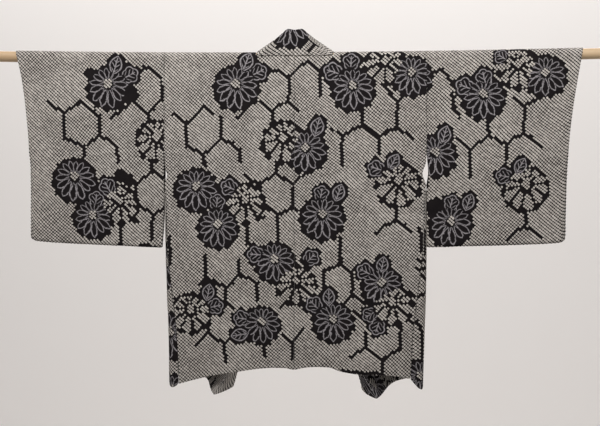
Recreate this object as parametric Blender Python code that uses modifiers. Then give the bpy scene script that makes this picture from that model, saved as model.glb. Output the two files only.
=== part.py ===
"""Haori jacket hung flat on a round wooden rod, seen first from its back.

Metres, +Z up.  The origin is on the rod's axis at the middle of its length.
The garment's back faces -Y, its fronts hang on the +Y side of the rod, and
+X runs along the rod, which bows a little under the load.  Each cut piece is
one walled solid: a grid is laid on the piece's middle surface by its own
function, and Solidify gives the wall.  Neighbouring pieces stay SEAM_GAP
apart where the maker's seam would be.
"""

import math

import bmesh
import bpy
from mathutils import Matrix

# ---------------------------------------------------------------- sizes

ROD_RADIUS = 0.0125
ROD_LENGTH = 1.500
ROD_SIDES = 28
ROD_END_BEVEL = 0.0012
ROD_CUTS = 9                # rings along the rod between its ends
ROD_BOW = 0.0090            # the loaded rod's ends stand this much higher

CLOTH = 0.0020              # wall of the tie-dyed silk, with its relief
BAND = 0.0030               # wall of the collar, a double band
SEAM_GAP = 0.0003           # clearance at every seam and round the rod

CLOTH_TURN = ROD_RADIUS + SEAM_GAP + CLOTH / 2      # middle surface over the rod
BAND_TURN = ROD_RADIUS + SEAM_GAP + BAND / 2

SHOULDER = 0.3040           # centre back to armhole seam
NECK_HALF = 0.0900          # half of the neck opening along the shoulder

SLEEVE_TURN_DROP = 0.4385   # middle of the bottom fold, below the rod
SLEEVE_FOLD = 0.0045        # half distance of the two layers at that fold
CUFF_OPENING = 0.212        # open part of the sleeve's outer end
CUFF_EASE = 0.050           # height over which the opening closes

BAND_HEM_RISE = 0.0120      # the collar's end is higher at its free edge
BAND_SWING = {-1: 0.003, 1: 0.009}      # each front's band swings out at the hem
BAND_SWING_START = 0.500

HEM_WAVE = 0.0035           # soft waves that grow towards the hems
HEM_WAVE_START = 0.420
HEM_WAVE_LENGTH = 0.165

# ---------------------------------------------------------------- tables
# Each row is one level or one place; the first column is where it is.

# drop below the rod | half width of the body panels | outer fold of the gusset
SIDE_LINE = (
    (0.000, 0.3040, 0.3040),
    (0.215, 0.3040, 0.3040),
    (0.248, 0.2975, 0.3030),
    (0.310, 0.3000, 0.3034),
    (0.440, 0.2960, 0.3015),
    (0.540, 0.2850, 0.2990),
    (0.640, 0.2735, 0.2955),
    (0.760, 0.2675, 0.2935),
    (0.800, 0.2665, 0.2930),
)

# distance from the centre seam | hem drop of the -X back | of the +X back
BACK_HEM = (
    (0.000, 0.7215, 0.7215),
    (0.023, 0.7175, 0.7160),
    (0.045, 0.7175, 0.7140),
    (0.078, 0.7195, 0.7150),
    (0.110, 0.7230, 0.7225),
    (0.150, 0.7295, 0.7290),
    (0.224, 0.7400, 0.7320),
    (0.268, 0.7550, 0.7410),
)

# drop | collar seam: x, y | depth of the front's soft fold | free edge: x
FRONT_LINE = (
    (0.000, 0.0900, 0.0143, 0.000, 0.0360),
    (0.025, 0.0901, 0.0143, 0.000, 0.0325),
    (0.055, 0.0906, 0.0145, 0.001, 0.0312),
    (0.130, 0.0935, 0.0155, 0.004, 0.0340),
    (0.320, 0.1020, 0.0190, 0.015, 0.0440),
    (0.520, 0.1160, 0.0230, 0.032, 0.0690),
    (0.660, 0.1360, 0.0200, 0.050, 0.1060),
    (0.740, 0.1620, 0.0120, 0.066, 0.1390),
    (0.790, 0.1905, 0.0055, 0.074, 0.1510),
    (0.820, 0.1980, 0.0050, 0.076, 0.1560),
)

# share across a front, from the collar seam | its hem drop at -X | at +X
FRONT_HEM = (
    (0.00, 0.7845, 0.7895),
    (0.25, 0.7700, 0.7790),
    (0.50, 0.7545, 0.7665),
    (0.80, 0.7430, 0.7475),
    (1.00, 0.7390, 0.7390),
)

# station of the band round the neck | its seam: x, degrees round the rod
# from the top | its free edge: x, y, z
NECK_BAND = (
    (0, 0.0000, -73.0, 0.0000, -0.0150, 0.0610),
    (1, 0.0160, -73.0, 0.0155, -0.0150, 0.0645),
    (2, 0.0440, -73.0, 0.0285, -0.0130, 0.0565),
    (3, 0.0720, -73.0, 0.0365, -0.0095, 0.0500),
    (4, 0.0880, -60.0, 0.0405, -0.0050, 0.0465),
    (5, 0.0885, 0.0, 0.0410, 0.0005, 0.0465),
    (6, 0.0887, 55.0, 0.0390, 0.0075, 0.0410),
    (7, 0.0897, 90.0, 0.0360, 0.0130, 0.0268),
)
BAND_WIDTH = 0.0600
BAND_LEVEL = 0.055          # from here down the band's rulings are level

# drop below the rod | outer end of the sleeve | its inner edge
SLEEVE_LINE = (
    (-0.016, 0.6575, 0.3043),
    (0.020, 0.6490, 0.3043),
    (0.055, 0.6425, 0.3043),
    (0.125, 0.6335, 0.3043),
    (0.215, 0.6255, 0.3046),
    (0.260, 0.6238, 0.3062),
    (0.300, 0.6225, 0.3062),
    (0.360, 0.6215, 0.3058),
    (0.430, 0.6215, 0.3058),
    (0.450, 0.6215, 0.3058),
)

# share across the sleeve | rise of its bottom fold
SLEEVE_BOTTOM = (
    (0.000, 0.0130),
    (0.020, 0.0065),
    (0.060, 0.0050),
    (0.500, 0.0035),
    (0.900, 0.0080),
    (0.965, 0.0100),
    (1.000, 0.0170),
)

# share across the gusset, back to front | hem drop at -X | at +X
GUSSET_HEM = (
    (0.00, 0.7550, 0.7410),
    (0.32, 0.7660, 0.7640),
    (0.50, 0.7585, 0.7590),
    (0.75, 0.7500, 0.7510),
    (1.00, 0.7390, 0.7390),
)

# ---------------------------------------------------------------- grids

# levels of the body's rows, as shares of the drop from the rod to the hem
LEVELS = (0.0, 0.03, 0.074, 0.14, 0.21, 0.28, 0.335, 0.41,
          0.49, 0.57, 0.65, 0.73, 0.80, 0.86, 0.91, 0.96, 1.0)
HANG_ROWS = len(LEVELS) - 1
GUSSET_LEVEL = 7            # the level where the side gusset starts
TURN_ROWS = 12              # rows over the rod
NECK_ROW = 1                # row over the rod where the back neck is cut
NECK_COLUMNS = 4            # columns of a back inside the neck opening
FLAT_EDGE = 0.06            # share beside a seam where a front lies flat
# columns from there to the side
PANEL_SHARES = (0.0, FLAT_EDGE, 0.16, 0.26, 0.37, 0.5, 0.63, 0.74, 0.84, 1 - FLAT_EDGE, 1.0)
SLEEVE_SHARES = (0.0, 0.02, 0.06, 0.20, 0.35, 0.50, 0.65, 0.80, 0.90, 0.965, 1.0)
SLEEVE_LEVELS = (0.0, 0.13, 0.26, 0.38, 0.50, 0.545, 0.58, 0.625, 0.72, 0.82, 0.92, 1.0)
SLEEVE_ROWS = len(SLEEVE_LEVELS) - 1
FOLD_ROWS = 4               # rows round the bottom fold
GUSSET_COLUMNS = 8
BAND_NECK_ROWS = 21
BAND_SHARES = (0.0, 0.08, 0.36, 0.68, 1.0)


# ---------------------------------------------------------------- helpers

def reading(table, column, at):
    """The table's column at a place, on a smooth line that never overshoots."""
    places = [row[0] for row in table]
    values = [row[column] for row in table]
    last = len(places) - 1
    if at <= places[0]:
        return values[0]
    if at >= places[last]:
        return values[last]
    i = max(k for k in range(last) if places[k] <= at)

    def secant(k):
        k = min(max(k, 0), last - 1)
        return (values[k + 1] - values[k]) / (places[k + 1] - places[k])

    def slope(k):
        before, after = secant(k - 1), secant(k)
        if before * after <= 0:
            return 0.0
        return 2 * before * after / (before + after)

    span = places[i + 1] - places[i]
    t = (at - places[i]) / span
    return (values[i] * (1 + 2 * t) * (1 - t) ** 2
            + values[i + 1] * t * t * (3 - 2 * t)
            + slope(i) * span * t * (1 - t) ** 2
            - slope(i + 1) * span * t * t * (1 - t))


def ease(value):
    """A smooth step from 0 to 1."""
    value = min(max(value, 0.0), 1.0)
    return value * value * (3 - 2 * value)


def mix(a, b, share):
    return a + (b - a) * share


def hem_wave(x, drop):
    """Depth of the soft waves in the hanging cloth at a place."""
    grown = ease((drop - HEM_WAVE_START) / (0.76 - HEM_WAVE_START))
    return HEM_WAVE * grown * math.sin(math.tau * x / HEM_WAVE_LENGTH + 0.6)


def bow(x):
    """The loaded rod is lowest at its middle, and the cloth follows it."""
    return ROD_BOW * (2 * x / ROD_LENGTH) ** 2


def table_column(side):
    """Tables with a column for each side list -X first."""
    return 1 if side < 0 else 2


# ---------------------------------------------------------------- middle surfaces

def back_point(side, share, level):
    """A back panel: across from the centre seam, down from the shoulder."""
    hem_x = share * BACK_HEM[-1][0]
    drop = level * reading(BACK_HEM, table_column(side), hem_x)
    x = mix(SEAM_GAP / 2, reading(SIDE_LINE, 1, drop), share)
    return side * x, -CLOTH_TURN - hem_wave(side * x, drop), -drop


def turn_point(side, share, turn):
    """The shoulder, over the rod from back (-90 degrees) to front (90)."""
    angle = math.radians(turn)
    x = mix(SEAM_GAP / 2, SHOULDER, share)
    return side * x, CLOTH_TURN * math.sin(angle), CLOTH_TURN * math.cos(angle)


def front_point(side, across, level):
    """A front panel: across from the collar seam, down from the shoulder."""
    drop = level * reading(FRONT_HEM, table_column(side), across)
    seam_x = reading(FRONT_LINE, 1, drop) + SEAM_GAP / 2
    seam_y = reading(FRONT_LINE, 2, drop) - (BAND_TURN - CLOTH_TURN)
    bend = min(max((across - FLAT_EDGE) / (1 - 2 * FLAT_EDGE), 0.0), 1.0)
    fold = reading(FRONT_LINE, 3, drop) * math.sin(math.pi * bend) ** 2
    x = mix(seam_x, reading(SIDE_LINE, 1, drop), across)
    return side * x, mix(seam_y, CLOTH_TURN, across) + fold, -drop


def body_point(side, i, j):
    """One length of cloth over the shoulder, from back hem to front hem."""
    neck_share = NECK_HALF / SHOULDER
    if i <= NECK_COLUMNS:
        across = 0.0
        share = neck_share * i / NECK_COLUMNS
    else:
        across = PANEL_SHARES[i - NECK_COLUMNS]
        share = mix(neck_share, 1.0, across)
    if j < HANG_ROWS:
        return back_point(side, share, LEVELS[HANG_ROWS - j])
    if j <= HANG_ROWS + TURN_ROWS:
        return turn_point(side, share, 180 * (j - HANG_ROWS) / TURN_ROWS - 90)
    return front_point(side, across, LEVELS[j - HANG_ROWS - TURN_ROWS])


def in_neck(i, j):
    """Cells of the body's grid that the neck opening takes out."""
    return i < NECK_COLUMNS and j >= HANG_ROWS + NECK_ROW


def sleeve_point(side, i, j):
    """A sleeve: round from the bottom fold, up the back and down the front."""
    share = SLEEVE_SHARES[i]
    bottom = SLEEVE_TURN_DROP - reading(SLEEVE_BOTTOM, 1, share)
    turn_start = SLEEVE_ROWS
    turn_end = turn_start + TURN_ROWS
    front_end = turn_end + SLEEVE_ROWS
    if turn_start <= j <= turn_end:
        angle = math.radians(180 * (j - turn_start) / TURN_ROWS - 90)
        y, z = CLOTH_TURN * math.sin(angle), CLOTH_TURN * math.cos(angle)
    elif j < front_end:
        facing = -1 if j < turn_start else 1
        rows_down = turn_start - j if j < turn_start else j - turn_end
        drop = bottom * SLEEVE_LEVELS[rows_down]
        y, z = facing * sleeve_depth(share, drop), -drop
    else:
        angle = math.pi * (j - front_end) / FOLD_ROWS
        y = sleeve_depth(share, bottom) * math.cos(angle)
        z = -bottom - SLEEVE_FOLD * math.sin(angle)
    x = mix(reading(SLEEVE_LINE, 2, -z), reading(SLEEVE_LINE, 1, -z), share)
    return side * x, y, z


def sleeve_depth(share, drop):
    """Half distance of a sleeve's layers; sewn shut below the cuff opening."""
    depth = mix(CLOTH_TURN, SLEEVE_FOLD, ease((drop - 0.21) / 0.21))
    if share < 1.0:
        return depth
    return depth * (1 - ease((drop - CUFF_OPENING) / CUFF_EASE))


def gusset_point(side, i, j):
    """A side gusset: out from the back seam, round and in to the front."""
    across = i / GUSSET_COLUMNS
    hem = reading(GUSSET_HEM, table_column(side), across)
    drop = LEVELS[GUSSET_LEVEL + j] * hem
    seam = reading(SIDE_LINE, 1, drop)
    fold = reading(SIDE_LINE, 2, drop)
    steepness = CLOTH_TURN / (CLOTH_TURN + fold - seam)
    seam += SEAM_GAP + CLOTH / 2 * steepness
    x = mix(seam, fold, math.sin(math.pi * across))
    y = -CLOTH_TURN * math.cos(math.pi * across)
    wave = hem_wave(side * seam, drop) * max(0.0, 1 - 2 * across)
    return side * x, y - wave, -drop


def band_ends(side, station, share):
    """Seam point and free-edge point of the collar at a station."""
    if station <= BAND_NECK_ROWS:
        at = station / BAND_NECK_ROWS * NECK_BAND[-1][0]
        x, degrees, *free = (reading(NECK_BAND, column, at) for column in range(1, 6))
        turn = math.radians(degrees)
        return (x, BAND_TURN * math.sin(turn), BAND_TURN * math.cos(turn)), free
    level = LEVELS[station - BAND_NECK_ROWS]
    drop = level * (FRONT_HEM[0][table_column(side)] - BAND_HEM_RISE * share)
    seam_x = reading(FRONT_LINE, 1, drop) - SEAM_GAP / 2
    seam_y = reading(FRONT_LINE, 2, drop)
    swing = BAND_SWING[side] * ease((drop - BAND_SWING_START) / 0.25)
    free_x = reading(FRONT_LINE, 4, drop) + swing
    rest = math.sqrt(max(BAND_WIDTH ** 2 - (seam_x - free_x) ** 2, 0.0))
    tilt = math.pi / 2 * ease(drop / BAND_LEVEL)
    free_y = seam_y + rest * math.sin(tilt)
    return (seam_x, seam_y, -drop), (free_x, free_y, rest * math.cos(tilt) - drop)


def band_point(i, j):
    """The collar: one band from hem to hem, across from seam to free edge."""
    share = BAND_SHARES[i]
    from_centre = j - BAND_NECK_ROWS - HANG_ROWS
    side = -1 if from_centre < 0 else 1
    seam, free = band_ends(side, abs(from_centre), share)
    x = mix(seam[0], free[0], share)
    bend = max(share - BAND_SHARES[1], 0.0) / (1 - BAND_SHARES[1])
    y = mix(seam[1], free[1], bend * bend)
    return side * x, y, mix(seam[2], free[2], share)


# ---------------------------------------------------------------- building

def clear_scene():
    for old in list(bpy.data.objects):
        bpy.data.objects.remove(old, do_unlink=True)


def new_material(name, colour, roughness):
    material = bpy.data.materials.new(name)
    material.diffuse_color = (*colour, 1.0)
    material.use_nodes = True
    shader = material.node_tree.nodes["Principled BSDF"]
    shader.inputs["Base Color"].default_value = (*colour, 1.0)
    shader.inputs["Roughness"].default_value = roughness
    shader.inputs["Metallic"].default_value = 0.0
    return material


def add_wall(name, columns, rows, place, wall, material, cut=None):
    """Lay a grid on a middle surface and give it a wall of even thickness."""
    bm = bmesh.new()
    bmesh.ops.create_grid(bm, x_segments=columns, y_segments=rows, size=1.0)
    index = {}
    for vert in bm.verts:
        i = round((vert.co.x + 1) / 2 * columns)
        j = round((vert.co.y + 1) / 2 * rows)
        index[vert] = (i, j)
    if cut:
        doomed = [face for face in bm.faces
                  if cut(*(min(index[v][k] for v in face.verts) for k in (0, 1)))]
        bmesh.ops.delete(bm, geom=doomed, context="FACES")
    for vert in bm.verts:
        vert.co = place(*index[vert])
        vert.co.z += bow(vert.co.x)
    bmesh.ops.remove_doubles(bm, verts=bm.verts, dist=0.0001)
    bmesh.ops.recalc_face_normals(bm, faces=bm.faces)
    mesh = bpy.data.meshes.new(name)
    bm.to_mesh(mesh)
    bm.free()
    mesh.materials.append(material)
    obj = bpy.data.objects.new(name, mesh)
    solid = obj.modifiers.new("Wall", "SOLIDIFY")
    solid.thickness = wall
    solid.offset = 0.0
    solid.use_even_offset = True
    solid.use_rim = True
    return obj


def add_rod(material):
    bm = bmesh.new()
    bmesh.ops.create_cone(
        bm, cap_ends=True, segments=ROD_SIDES, radius1=ROD_RADIUS, radius2=ROD_RADIUS,
        depth=ROD_LENGTH, matrix=Matrix.Rotation(math.pi / 2, 4, "Y"))
    lengthwise = [edge for edge in bm.edges if edge.calc_length() > ROD_LENGTH / 2]
    bmesh.ops.subdivide_edges(bm, edges=lengthwise, cuts=ROD_CUTS)
    for vert in bm.verts:
        vert.co.z += bow(vert.co.x)
    mesh = bpy.data.meshes.new("rod")
    bm.to_mesh(mesh)
    bm.free()
    mesh.materials.append(material)
    rod = bpy.data.objects.new("rod", mesh)
    bevel = rod.modifiers.new("Worn ends", "BEVEL")
    bevel.width = ROD_END_BEVEL
    bevel.segments = 1
    bevel.angle_limit = math.radians(60)
    return rod


def build():
    clear_scene()
    silk = new_material("kanoko_silk", (0.24, 0.22, 0.20), 0.75)
    wood = new_material("pale_wood", (0.56, 0.39, 0.23), 0.55)
    pieces = [add_rod(wood)]
    body_rows = 2 * HANG_ROWS + TURN_ROWS
    sleeve_rows = 2 * SLEEVE_ROWS + TURN_ROWS + FOLD_ROWS
    for side, word in ((-1, "left"), (1, "right")):
        pieces.append(add_wall(
            f"body_{word}", NECK_COLUMNS + len(PANEL_SHARES) - 1, body_rows,
            lambda i, j, s=side: body_point(s, i, j), CLOTH, silk, cut=in_neck))
        pieces.append(add_wall(
            f"sleeve_{word}", len(SLEEVE_SHARES) - 1, sleeve_rows,
            lambda i, j, s=side: sleeve_point(s, i, j), CLOTH, silk))
        pieces.append(add_wall(
            f"gusset_{word}", GUSSET_COLUMNS, HANG_ROWS - GUSSET_LEVEL,
            lambda i, j, s=side: gusset_point(s, i, j), CLOTH, silk))
    pieces.append(add_wall(
        "collar", len(BAND_SHARES) - 1, 2 * (BAND_NECK_ROWS + HANG_ROWS),
        band_point, BAND, silk))

    group = bpy.data.collections.new("haori_on_rod")
    bpy.context.scene.collection.children.link(group)
    for piece in pieces:
        group.objects.link(piece)


build()
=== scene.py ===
"""Haori jacket in black and off-white kanoko silk, hung by its shoulders on a rod.

Metres, +Z up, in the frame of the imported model: the origin is on the rod's axis
at mid-length, the jacket's back faces -Y and +X is on the right of the back.

Every cloth piece starts flat, as the lattice of its tie-dyed dots: one cell for
each dot, in rows on the bias.  Each cell is dyed (a light dot, or black ground under
a flower, a leaf or a fence line), the lattice is trimmed to the cut, and then it is
hung where the cut hangs.  Flat places are (across, along): across as seen on the
back, +X to the right, along from the top of the shoulder, the back minus and the
front plus.  A side is -1 at -X and 1 at +X.
"""

import math
from bisect import bisect
from functools import partial, partialmethod

import bmesh
import bpy
from mathutils import Matrix, Vector


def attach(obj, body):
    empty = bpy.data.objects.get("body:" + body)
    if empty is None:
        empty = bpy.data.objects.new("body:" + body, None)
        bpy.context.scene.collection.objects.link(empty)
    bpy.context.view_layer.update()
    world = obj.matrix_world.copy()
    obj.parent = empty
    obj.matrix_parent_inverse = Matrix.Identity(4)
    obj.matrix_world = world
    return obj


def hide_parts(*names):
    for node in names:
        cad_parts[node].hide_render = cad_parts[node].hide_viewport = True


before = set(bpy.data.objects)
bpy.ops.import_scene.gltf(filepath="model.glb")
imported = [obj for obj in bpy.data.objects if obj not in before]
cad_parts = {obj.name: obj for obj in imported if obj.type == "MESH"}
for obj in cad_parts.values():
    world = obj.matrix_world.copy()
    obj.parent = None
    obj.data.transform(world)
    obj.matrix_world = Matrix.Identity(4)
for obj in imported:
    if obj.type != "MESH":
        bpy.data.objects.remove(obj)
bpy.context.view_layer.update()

# ---------------------------- sizes

MM = 0.001

ROD_RADIUS = 0.0125
ROD_LENGTH = 1.500
ROD_BOW = 0.0090            # how much lower the loaded rod is at its middle
ROD_WEAR = 0.0012           # rounding of its sawn ends
ROD_FACES, ROD_STEPS = 48, 30
SEAM_GAP = 0.0003
WALL = 0.0020               # thickness of the cloth in the solids
BAND_WALL = 0.0030          # and of the double collar
CLOTH_TURN = ROD_RADIUS + SEAM_GAP + WALL / 2       # middle of the cloth over the rod
BAND_TURN = ROD_RADIUS + SEAM_GAP + BAND_WALL / 2
QUARTER_TURN = CLOTH_TURN * math.pi / 2             # cloth from shoulder top to rod axis

SHOULDER = 0.3040           # from the centre seam to the sleeve seam
NECK_HALF = 0.0900          # half width of the neck opening
NECK_EDGE = -CLOTH_TURN * math.radians(73.7)        # top edge of the back inside the neck

SLEEVE_TURN_DROP = 0.4385   # where a sleeve starts to turn in to its bottom seam
SLEEVE_FOLD = 0.0045        # radius of the turn at its bottom
SLEEVE_FULL = 0.21          # down to here it is as deep as over the rod, then it thins
SLEEVE_HALF_ROUND = 0.4582  # from the top of the shoulder to the bottom seam
SLEEVE_DROP = SLEEVE_HALF_ROUND - QUARTER_TURN - SLEEVE_FOLD * math.pi / 2
CUFF_OPENING = 0.212        # drop to which the outer end is open
CUFF_EASE = 0.050           # and over which it closes
CUFF_ROUND = 0.035          # share of the sleeve's width in which its end closes

BAND_WIDTH = 0.0600
BAND_LEVEL = 0.055          # drop at which the upright band has come to face forward
BAND_HEM_RISE = 0.0120      # of its free corner above its seam
BAND_SWING = {-1: 0.003, 1: 0.009}      # of its free edge, outwards near its end
BAND_SWING_START = 0.500
BAND_SWING_LENGTH = 0.25
BAND_FLAT = 0.08            # share of the band beside its seam that lies flat
FRONT_FLAT = 0.06           # the same on a front
SEAM_SINK = 0.9 * MM        # how far the sewn edges of the centre back draw in
SEAM_SINK_START = 0.02      # drop over which that begins
SEAM_REACH = 3.5 * MM       # and how far to each side
SEAM_SLIT = 0.04 * MM       # half of the gap between those edges

HEM_WAVE = 0.0035           # depth of the soft waves near the hem
HEM_WAVE_START = 0.420
HEM_WAVE_END = 0.760
HEM_WAVE_LENGTH = 0.165
HEM_WAVE_PHASE = 0.6

GUSSET_TOP = 0.41           # share of the hem's drop where the gusset starts

DOT_STEP = 5.4 * MM         # from one tied dot to the next in its row
ROW_STEP = 5.9 * MM         # from one row of dots to the next
ROW_SLOPE = math.radians(-41)       # the rows run down to the right on the back
ROW_RUN, ROW_FALL = math.cos(ROW_SLOPE), math.sin(ROW_SLOPE)
CELL_REACH = DOT_STEP + ROW_STEP
DOT_HEIGHT = 0.75 * MM      # how far a tied dot stands up, on average
DOT_LEAST = 0.7             # share of that for the lowest dots
WELD = 0.05 * MM            # edge points this near become one
NO_MOVE = 1e-7              # a point trimmed by less than this lies inside the cut
SILK = 1.4 * MM             # thickness of the crinkled silk
SILK_OUT = 0.5 * MM         # how far its face lies outside the cut's middle
BAND_SILK = 2.4 * MM
ROW_DRIFT = 2.2 * MM        # how far the tied rows wander
DRIFT_WAVES = ((0.21, 0.17, 0.8), (0.19, 0.13, 0.4))    # of x and of y: lengths, phase

# the flat rectangles from which the pieces are trimmed
BACK_LENGTH = QUARTER_TURN + 0.757
FRONT_LENGTH = QUARTER_TURN + 0.792
SLEEVE_REACH = 0.658
GUSSET_LOW, GUSSET_HIGH = (-0.036, -0.768), (0.036, -0.300)
COLLAR_REACH = 0.89

# ---------------------------- the cut
# In millimetres, with shares in thousandths.


def metres(table):
    return [[value * MM for value in row] for row in table]


# drop below the rod | half width of the body panels | outer fold of the gusset at -X | at +X
SIDE_LINE = metres((
    (0, 304, 304, 304),
    (215, 304, 304, 304),
    (250, 302.2, 303.8, 303.8),
    (294, 302.6, 303.6, 303.8),
    (314, 299.8, 303.4, 303.6),
    (440, 296, 301.5, 304),
    (540, 285, 298.5, 303),
    (640, 273.5, 294.5, 300),
    (760, 267.5, 292.5, 297.2),
    (800, 266.5, 292, 296.5),
))

# distance from the centre seam | hem drop of the -X back | of the +X back
BACK_HEM = metres((
    (0, 721.5, 721.5),
    (23, 717.5, 716),
    (45, 717.5, 714),
    (78, 719.5, 715),
    (110, 723.5, 725.5),
    (150, 730.5, 731),
    (190, 737.5, 732),
    (224, 745.5, 734),
    (268, 757.5, 741),
))

# drop | collar seam: x, y | depth of the front's soft fold | free edge: x
FRONT_LINE = metres((
    (0, 90, 14.3, 0, 36),
    (25, 90.1, 14.3, 0, 32.5),
    (55, 90.6, 14.5, 1, 31.2),
    (130, 93.5, 15.5, 4, 34),
    (320, 102, 19, 15, 44),
    (520, 116, 23, 32, 69),
    (660, 136, 20, 50, 106),
    (740, 162, 12, 66, 139),
    (790, 190.5, 5.5, 74, 151),
    (820, 198, 5, 76, 156),
))

# share across a front, from the collar seam | its hem drop at -X | at +X
FRONT_HEM = metres((
    (0, 784.5, 789.5),
    (250, 770, 779),
    (500, 754.5, 766.5),
    (800, 743, 747.5),
    (1000, 739, 739),
))

# station of the band round the neck | its seam: x, degrees round the rod from the
# top | its free edge: x, y, z
NECK_BAND = (
    (0, 0, -73, 0, -15, 64),
    (1, 16, -73, 15.5, -15, 66.5),
    (2, 44, -73, 28.5, -13, 57),
    (3, 72, -73, 36.5, -9.5, 50),
    (4, 88, -60, 40.5, -5, 46.5),
    (5, 88.5, 0, 41, 0.5, 46.5),
    (6, 88.7, 55, 39, 7.5, 41),
    (7, 89.7, 90, 36, 13, 26.8),
)

# drop below the rod | outer end of the sleeve at -X | at +X | its inner edge at -X | at +X
SLEEVE_LINE = metres((
    (-16, 657.5, 659, 304.3, 304.3),
    (20, 648, 652.5, 304.3, 304.3),
    (55, 640.5, 646.5, 304.3, 304.3),
    (125, 631, 635.5, 304.3, 304.3),
    (215, 623.3, 626.2, 304.6, 304.6),
    (265, 622, 624.3, 304.6, 308),
    (300, 621.5, 622.8, 304.6, 304.1),
    (360, 621.5, 621.5, 305.5, 304.4),
    (400, 621.5, 621, 307, 303.8),
    (430, 621.5, 620.5, 309.5, 303.4),
    (450, 621.5, 620.5, 310, 303.4),
))

# the slit under the arm by side, in metres: drop of its middle | half height | draw-in
SIDE_SLIT = {-1: (0.273, 0.021, 0.0062), 1: (0.269, 0.028, 0.0080)}

# share across the sleeve | rise of its bottom fold at -X | at +X
SLEEVE_BOTTOM = metres((
    (0, 3, 8),
    (20, 1.5, 5.5),
    (120, 2, 5.5),
    (250, 3.5, 7),
    (500, 6, 8),
    (730, 8, 9.5),
    (880, 10, 11),
    (965, 12.5, 13),
    (1000, 19, 20),
))

# share across the gusset, back to front | hem drop at -X | at +X
GUSSET_HEM = metres((
    (0, 755.5, 741.5),
    (140, 765, 756),
    (260, 766.5, 764),
    (370, 763.5, 766),
    (500, 757.5, 760),
    (750, 750, 751),
    (1000, 739, 739),
))

# ---------------------------- the dyer's charts
# Millimetres: across from the centre back, -X minus, and down from the rod's axis.

# A chart has its figures by kind: "open" flowers are drawn in thin lines on black,
# "full" ones have petals of dots, "leaf" is lobed and "blade" pointed, both in thin
# lines, and "plain" is black ground alone.  Each row is a figure: across | down |
# radius of its ground | turn in degrees.  A row of "fence" is a line from corner to
# corner: across, down, across, down and so on.
BACK_CHART = {
    "open": (
        (-136, 59, 55, 8), (-229, 297, 53, 25), (-178, 385, 50, 12), (-45, 464, 49, 5),
        (-75, 610, 46, 30), (134, 63, 53, 3), (269, 35, 49, 18), (26, 206, 51, 22),
        (64, 360, 54, 14), (202, 518, 49, 9), (90, 602, 50, 27),
    ),
    "full": (
        (-26, 184, 52, 0), (-114, 327, 49, 10), (6, 516, 48, 20), (-241, 583, 49, 15),
        (208, 8, 50, 8), (239, 283, 54, 0), (226, 562, 50, 24),
    ),
    "leaf": (
        (-84, 33, 26, 0), (-152, 300, 26, 12), (-180, 334, 24, -10), (-90, 455, 25, 8),
        (39, 462, 24, -14), (-183, 576, 24, 6), (-122, 603, 24, 0), (88, 33, 28, 15),
        (130, 10, 25, -8), (188, 256, 25, 10), (62, 313, 23, -12), (163, 493, 25, 4),
        (174, 593, 22, 0), (192, 621, 24, 12), (46, 570, 25, -10),
    ),
    "blade": (
        (-112, 9, 26, 70), (-200, 544, 23, 80), (-126, 641, 24, 190), (52, 160, 26, 75),
        (228, 241, 23, 60), (102, 312, 24, 70), (203, 479, 23, 80), (80, 553, 23, 90),
    ),
    "fence": (
        (-284, 130, -252, 152, -251, 205, -212, 224, -209, 250),
        (-252, 151, -227, 132, -212, 113, -188, 130),
        (-173, 136, -172, 188, -200, 214, -212, 224),
        (-172, 188, -145, 198, -127, 214, -127, 240),
        (-92, 99, -134, 139),
        (-79, 100, -53, 124, -52, 146),
        (-53, 124, -38, 110, -14, 101, 10, 122),
        (-14, 101, -13, 45, -46, 27, -66, 40),
        (-13, 45, 5, 26, 29, 8, 58, 33),
        (60, 35, 60, 88),
        (-79, 208, -61, 224, -43, 243, -42, 267, -78, 290, -77, 336, -40, 364, -38, 428),
        (-42, 267, -3, 295, -3, 346, -40, 364),
        (27, 262, -2, 293),
        (-3, 346, 7, 354),
        (-117, 269, -103, 284, -80, 292),
        (-72, 370, -103, 375),
        (-126, 378, -109, 396, -108, 429, -99, 436),
        (-206, 458, -205, 513, -220, 524),
        (-205, 513, -179, 521, -161, 533, -161, 565, -140, 584),
        (-161, 533, -145, 522, -128, 503, -130, 469),
        (-128, 503, -103, 510, -86, 523, -86, 559),
        (-39, 510, -38, 546),
        (-12, 552, -34, 579),
        (-12, 544, 16, 570),
        (-27, 641, -4, 658, -3, 693),
        (-4, 658, 22, 628),
        (-69, 656, -68, 688),
        (-198, 600, -198, 637, -218, 656, -228, 669),
        (-198, 637, -182, 652, -161, 660, -160, 702),
        (-161, 660, -146, 646),
        (84, 161, 109, 183, 111, 248),
        (109, 183, 132, 168, 156, 156, 157, 114),
        (156, 156, 179, 173, 195, 185, 194, 224),
        (195, 185, 216, 170, 235, 164, 237, 102, 206, 70),
        (237, 102, 258, 85),
        (235, 164, 250, 172, 274, 190),
        (236, 350, 236, 378, 207, 388, 186, 408),
        (236, 378, 255, 387, 270, 403),
        (286, 394, 294, 410, 294, 446),
        (285, 469, 294, 469),
        (284, 488, 292, 488),
        (264, 542, 283, 551),
        (-291, 416, -290, 480),
        (107, 416, 107, 477, 87, 485, 69, 492, 69, 540),
        (107, 477, 129, 495, 134, 502, 134, 548, 170, 569),
        (129, 495, 146, 482),
        (134, 548, 119, 566),
        (138, 584, 158, 606),
        (166, 634, 165, 668, 147, 680, 129, 692),
        (165, 668, 186, 683, 202, 698, 203, 725),
        (202, 698, 224, 682, 244, 672, 245, 624, 218, 610),
        (266, 604, 294, 636),
        (115, 723, 154, 728, 204, 728),
    ),
}
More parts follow.
